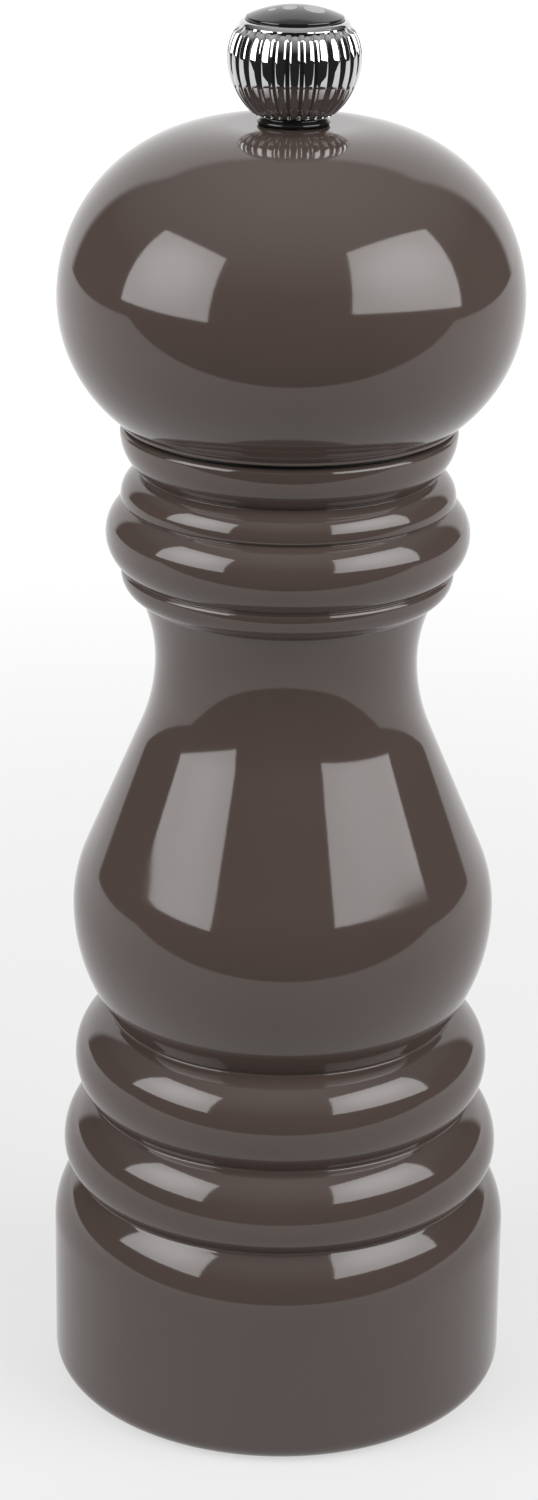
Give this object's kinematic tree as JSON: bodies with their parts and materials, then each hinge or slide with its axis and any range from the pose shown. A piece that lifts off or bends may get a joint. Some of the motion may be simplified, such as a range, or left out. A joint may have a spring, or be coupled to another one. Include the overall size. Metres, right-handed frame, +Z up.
{
  "type": "pepper mill",
  "caption": "Turned, lacquered pepper mill: the head turns a square shaft and a conical burr, a fluted top knob sets the grind.",
  "frame": {"origin": "centre of the foot, on the surface that the mill stands on", "axes": "+Z up along the mill's axis, +Y away from the viewer of the front, +X to the viewer's right"},
  "size_m": [0.0592, 0.0592, 0.18],
  "materials": {
    "lacquered_beech": "taupe high-gloss lacquer on turned beech",
    "bright_steel": "plain rolled steel",
    "burr_steel": "case-hardened burr steel",
    "screw_steel": "zinc-plated steel",
    "spring_steel": "drawn spring wire",
    "nylon": "natural moulded nylon",
    "black_nylon": "black moulded nylon",
    "chrome_plate": "bright chrome plate",
    "brass": "turned brass",
    "black_gloss": "domed glossy black"
  },
  "bodies": {
    "body": {"body": "lacquered_beech", "housing": "bright_steel", "housing_screws": "screw_steel", "ring_burr": "burr_steel", "bridge": "bright_steel", "bridge_rivets": "screw_steel", "shaft_bush": "nylon", "spring_washer": "bright_steel", "spring": "spring_steel"},
    "glide": {"glide_ring": "black_nylon"},
    "head": {"head": "lacquered_beech", "drive_plate": "bright_steel", "drive_plate_screws": "screw_steel"},
    "knob": {"knob_washer": "black_nylon", "knob_shell": "chrome_plate", "knob_insert": "brass", "knob_cap": "black_gloss"},
    "thrust": {"thrust_washer": "bright_steel"},
    "rotor": {"shaft": "bright_steel", "male_burr": "burr_steel", "foot_washer": "bright_steel", "foot_nut": "screw_steel"}
  },
  "joints": [
    {"name": "head_lift", "type": "slide", "parent": "body", "child": "glide", "axis": [0, 0, 1], "range_m": [0, 0.07]},
    {"name": "head_turn", "type": "hinge", "parent": "glide", "child": "head", "pos_m": [0, 0, 0.1295], "axis": [0, 0, 1], "continuous": true},
    {"name": "knob_turn", "type": "hinge", "parent": "head", "child": "knob", "pos_m": [0, 0, 0.166], "axis": [0, 0, 1], "range_deg": [0, 810]},
    {"name": "burr_travel", "type": "slide", "parent": "body", "child": "thrust", "axis": [0, 0, -1], "range_m": [0, 0.0018], "deforming": ["spring"]},
    {"name": "shaft_turn", "type": "hinge", "parent": "thrust", "child": "rotor", "pos_m": [0, 0, 0.02], "axis": [0, 0, 1], "continuous": true}
  ],
  "couplings": [
    {"joint": "knob_turn", "follows": "burr_travel", "rad_per_m": 7853.9},
    {"joint": "shaft_turn", "follows": "head_turn", "ratio": 1}
  ]
}
